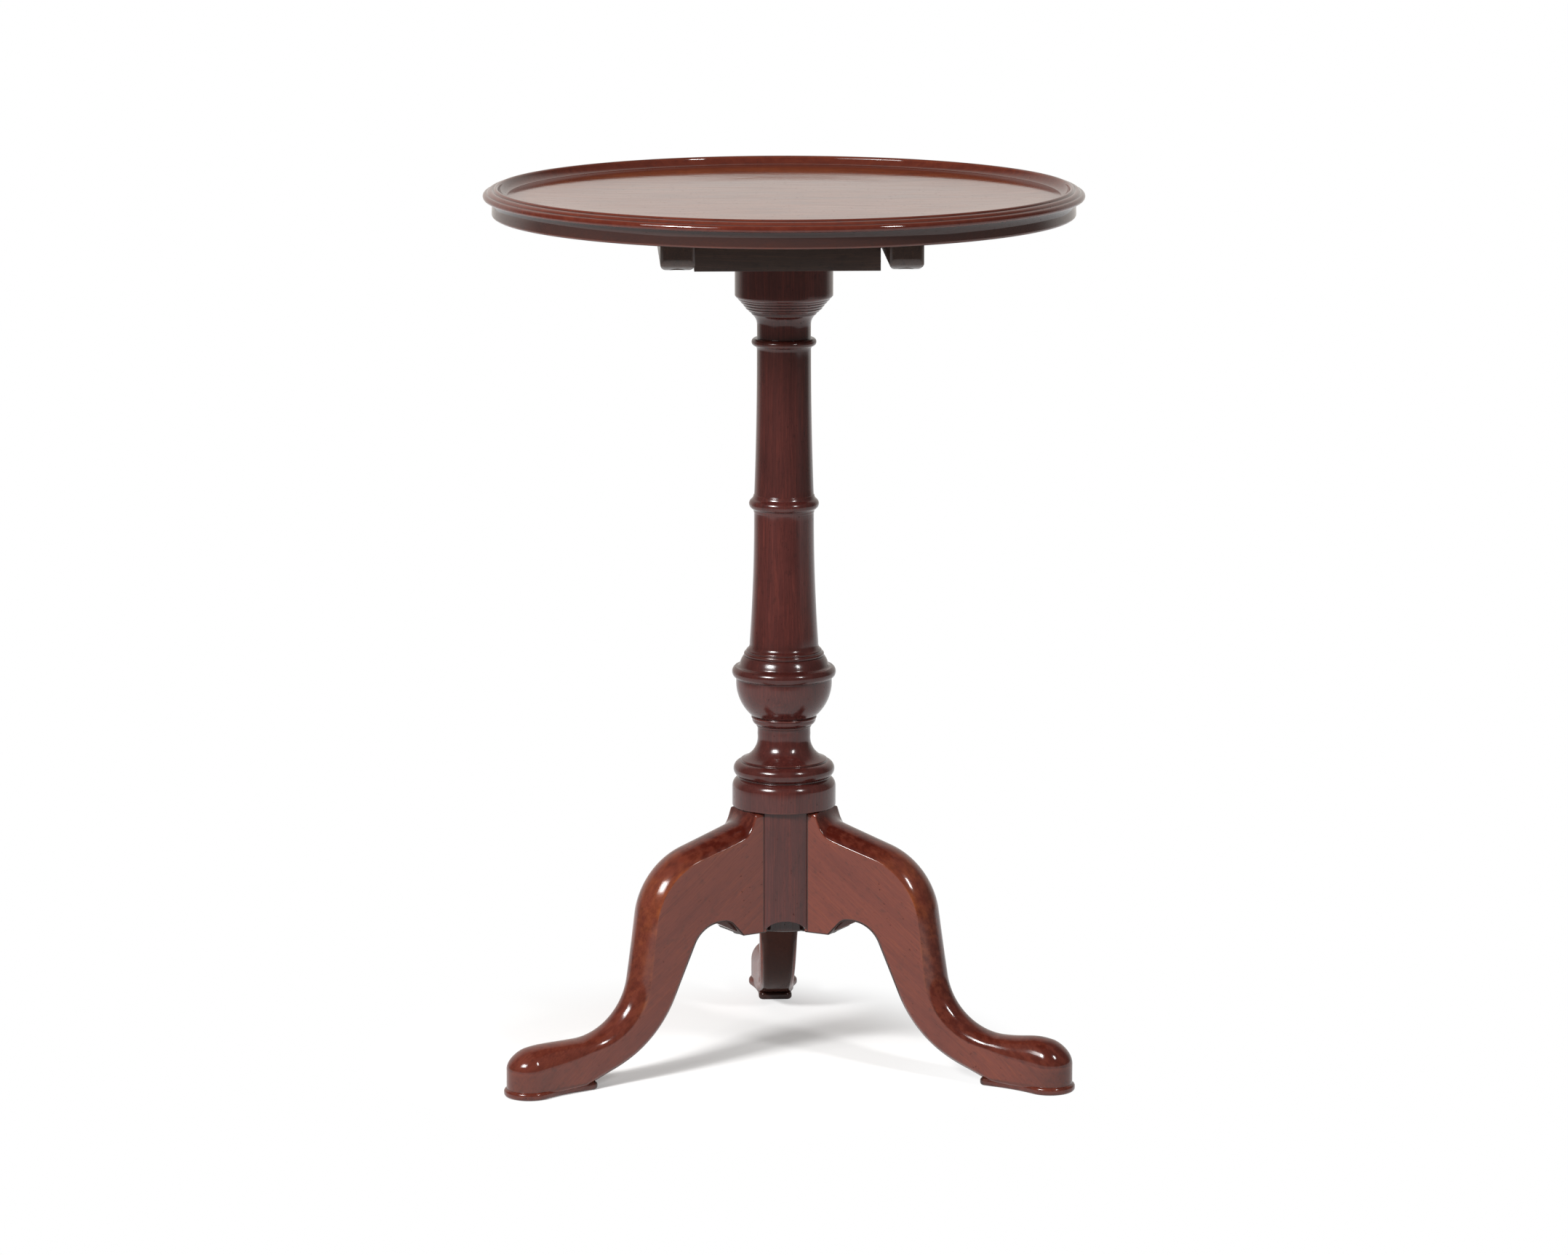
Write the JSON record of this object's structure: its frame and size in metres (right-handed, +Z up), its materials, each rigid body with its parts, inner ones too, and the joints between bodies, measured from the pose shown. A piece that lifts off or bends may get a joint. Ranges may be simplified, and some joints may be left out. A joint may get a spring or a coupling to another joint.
{
  "type": "tilt-top candle stand",
  "caption": "Round dished tray with a moulded rim that tips up on a pivot block, over a turned pillar with an urn and cabriole legs on pad feet.",
  "frame": {"origin": "on the floor, under the middle of the whole object's box", "axes": "+Z up, +Y towards the back leg and the catch, +X to the right as seen from the front"},
  "size_m": [0.48, 0.5004, 0.7133],
  "materials": {
    "mahogany": "French polished red-brown mahogany",
    "dark_mahogany": "aged dark mahogany, waxed",
    "iron": "blacksmith's iron, darkened",
    "brass": "cast brass, dulled",
    "steel": "old steel, dulled"
  },
  "bodies": {
    "stand": {"pillar": "mahogany", "pillar_wedge": "mahogany", "pivot_block": "dark_mahogany", "leg_left": "mahogany", "leg_right": "mahogany", "leg_back": "mahogany", "base_plate": "iron", "base_plate_nails": "iron", "strike_plate": "brass", "strike_screws": "brass"},
    "top": {"tray_top": "mahogany", "bearer_left": "dark_mahogany", "bearer_right": "dark_mahogany", "bearer_screws_left": "steel", "bearer_screws_right": "steel", "catch_plate": "brass", "catch_screws": "brass", "catch_spring": "brass"},
    "bolt": {"catch_bolt": "brass", "catch_knob": "brass"}
  },
  "joints": [
    {"name": "top_tilt", "type": "hinge", "parent": "stand", "child": "top", "pos_m": [0, -0.0696, 0.6775], "axis": [1, 0, 0], "range_deg": [0, 90]},
    {"name": "catch_slide", "type": "slide", "parent": "top", "child": "bolt", "axis": [0, -1, 0], "range_m": [0, 0.009]}
  ]
}
